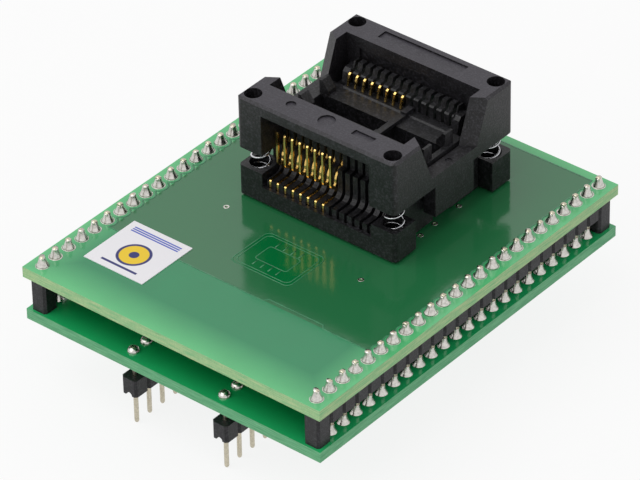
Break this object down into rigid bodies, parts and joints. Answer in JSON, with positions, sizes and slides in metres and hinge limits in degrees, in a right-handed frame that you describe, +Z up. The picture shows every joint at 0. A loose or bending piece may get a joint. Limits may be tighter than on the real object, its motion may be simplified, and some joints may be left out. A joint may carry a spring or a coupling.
{
  "type": "open-top test socket adapter",
  "caption": "Open-top spring-cover test socket for gull-wing chips on a two-board adapter with a dual-in-line pin plug.",
  "frame": {"origin": "centre of the plug's pin pattern, in the plane that the plug's insulators seat on", "axes": "+X across the boards, +Y along the pin rows from the plug to the socket, +Z up out of the boards"},
  "size_m": [0.0494, 0.062, 0.034],
  "materials": {
    "board_upper": "satin solder mask",
    "board_lower": "glossy solder mask",
    "header_black": "satin moulded",
    "pin_tin": "bright tin",
    "solder": "bright solder",
    "label_paper": "coated paper",
    "socket_black": "glass-filled, matt",
    "cover_black": "glass-filled, matt",
    "stop_grey": "moulded, satin",
    "contact_gold": "gold plated",
    "spring_steel": "bright drawn wire"
  },
  "bodies": {
    "boards": {"upper_board": "board_upper", "lower_board": "board_lower", "left_spacer_strip": "header_black", "right_spacer_strip": "header_black", "end_spacer_blocks": "header_black", "left_link_pins": "pin_tin", "right_link_pins": "pin_tin", "upper_link_solder": "solder", "lower_link_solder": "solder", "left_plug_strip": "header_black", "right_plug_strip": "header_black", "left_plug_pins": "pin_tin", "right_plug_pins": "pin_tin", "plug_solder": "solder", "label_sticker": "label_paper", "socket_base": "socket_black", "chip_stop": "stop_grey", "front_contact_frames": "contact_gold", "rear_contact_frames": "contact_gold", "tail_solder": "solder", "front_left_spring": "spring_steel", "front_right_spring": "spring_steel", "rear_left_spring": "spring_steel", "rear_right_spring": "spring_steel"},
    "cover": {"socket_cover": "cover_black"},
    "front_arms": {"front_contact_arms": "contact_gold"},
    "rear_arms": {"rear_contact_arms": "contact_gold"}
  },
  "joints": [
    {"name": "cover_press", "type": "slide", "parent": "boards", "child": "cover", "axis": [0, 0, -1], "range_m": [0, 0.0027], "stiffness_N_per_m": 2000, "springref_m": -0.005, "deforming": ["front_left_spring", "front_right_spring", "rear_left_spring", "rear_right_spring"]},
    {"name": "front_arm_swing", "type": "hinge", "parent": "boards", "child": "front_arms", "pos_m": [0, 0.02337, 0.02038], "axis": [1, 0, 0], "range_deg": [0, 15]},
    {"name": "rear_arm_swing", "type": "hinge", "parent": "boards", "child": "rear_arms", "pos_m": [0, 0.03917, 0.02038], "axis": [1, 0, 0], "range_deg": [-15, 0]}
  ],
  "couplings": [
    {"joint": "front_arm_swing", "follows": "cover_press", "rad_per_m": 96.9},
    {"joint": "rear_arm_swing", "follows": "cover_press", "rad_per_m": -96.9}
  ]
}
